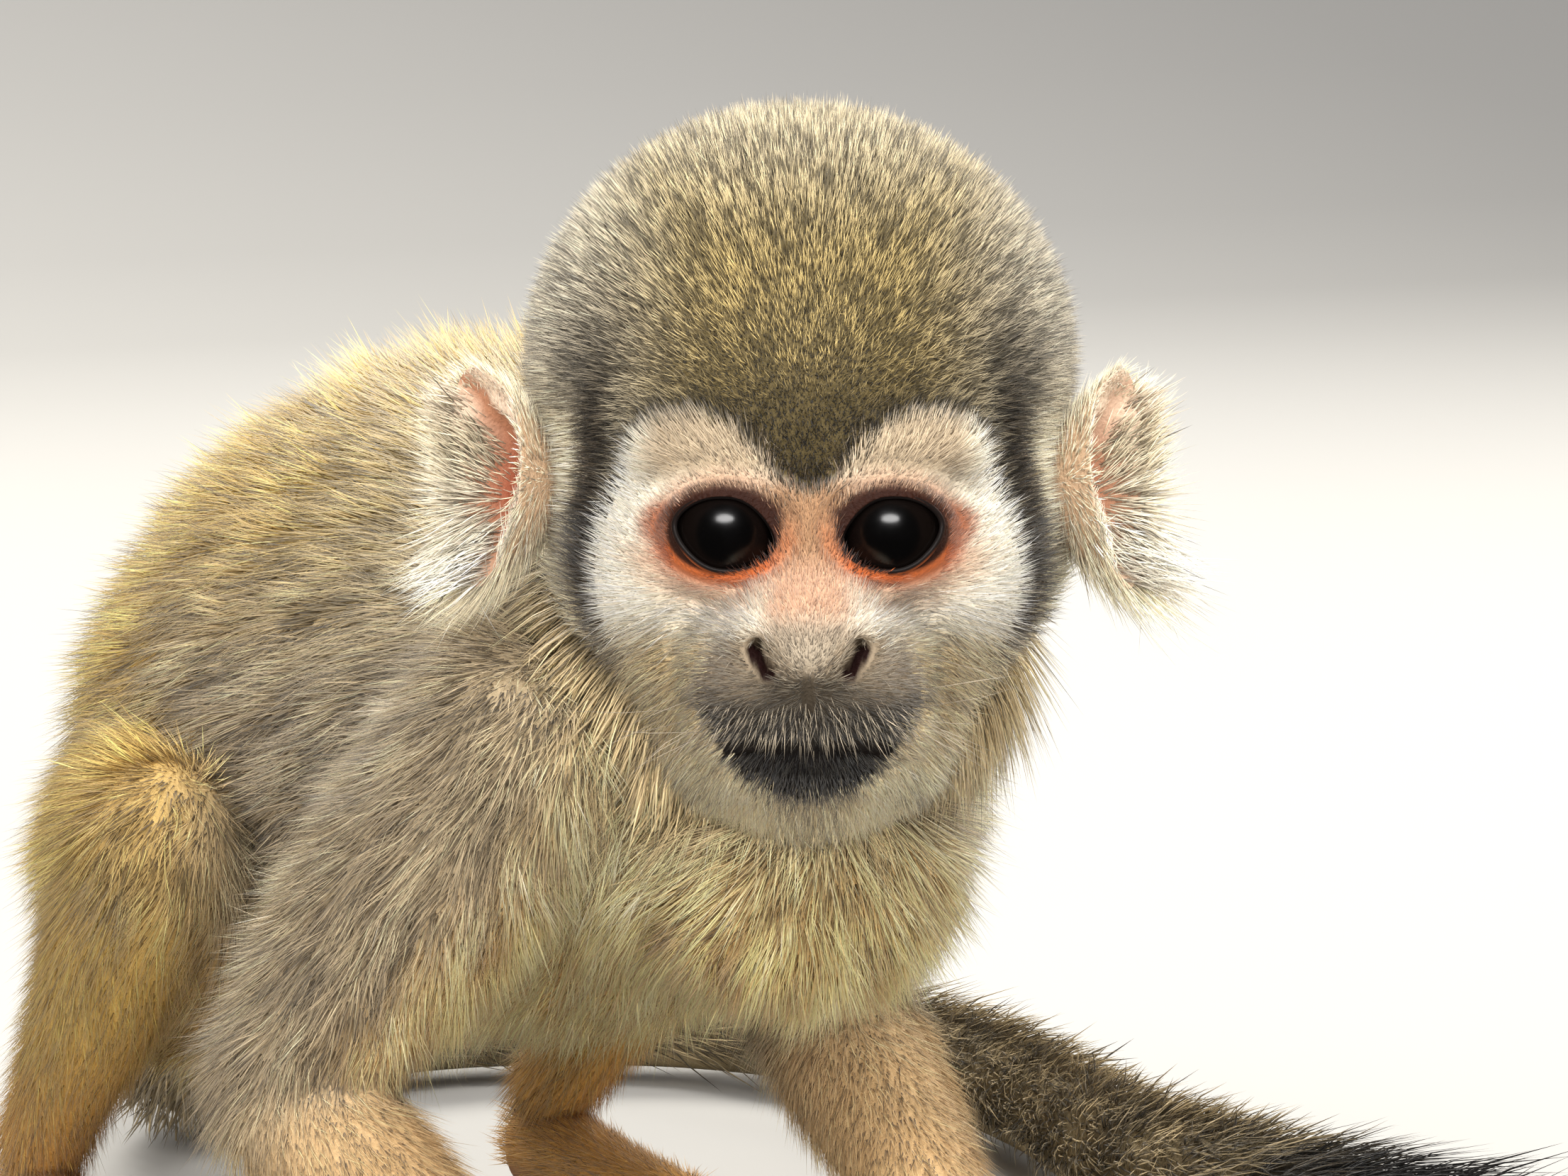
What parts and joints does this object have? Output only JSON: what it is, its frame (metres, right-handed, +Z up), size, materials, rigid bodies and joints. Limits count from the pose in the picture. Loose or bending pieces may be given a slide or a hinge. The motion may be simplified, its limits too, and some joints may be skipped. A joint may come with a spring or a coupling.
{
  "type": "squirrel monkey figure",
  "caption": "Life-size still figure of a common squirrel monkey crouched on all fours, looking round to its right, tail curled on the floor.",
  "frame": {"origin": "on the floor, at the middle of the whole figure's box seen from above", "axes": "+Z up; +Y from the chest towards the rump along the body; +X towards the monkey's left side, where the tail lies. The head is turned 30 degrees to the monkey's right."},
  "size_m": [0.187, 0.2768, 0.1559],
  "materials": {
    "head_coat": "dense short hair: yellow-olive flecked with black on the crown, white over the eyes and on the cheeks, black-grey round the mouth",
    "throat_coat": "long soft cream hair",
    "back_coat": "short golden-olive hair banded with black, buff underneath",
    "grey_coat": "grizzled grey hair",
    "gold_coat": "short orange-yellow hair",
    "hand_skin": "dark skin under short orange-yellow hair, with dark claws and pads",
    "ear_skin": "thin pink skin with long white hair",
    "eye": "wet, nearly black",
    "tail_tip_coat": "long black hair"
  },
  "bodies": {
    "root": {"head": "head_coat", "ear_left": "ear_skin", "ear_right": "ear_skin", "eye_left": "eye", "eye_right": "eye", "neck": "throat_coat", "chest": "back_coat", "hips": "back_coat", "upper_arm_left": "grey_coat", "upper_arm_right": "grey_coat", "forearm_left": "gold_coat", "forearm_right": "gold_coat", "hand_left": "hand_skin", "hand_right": "hand_skin", "thigh_left": "grey_coat", "thigh_right": "grey_coat", "shank_left": "gold_coat", "shank_right": "gold_coat", "foot_left": "hand_skin", "foot_right": "hand_skin", "tail_1": "grey_coat", "tail_2": "grey_coat", "tail_3": "grey_coat", "tail_4": "grey_coat", "tail_5": "grey_coat", "tail_6": "grey_coat", "tail_7": "tail_tip_coat"}
  },
  "joints": []
}
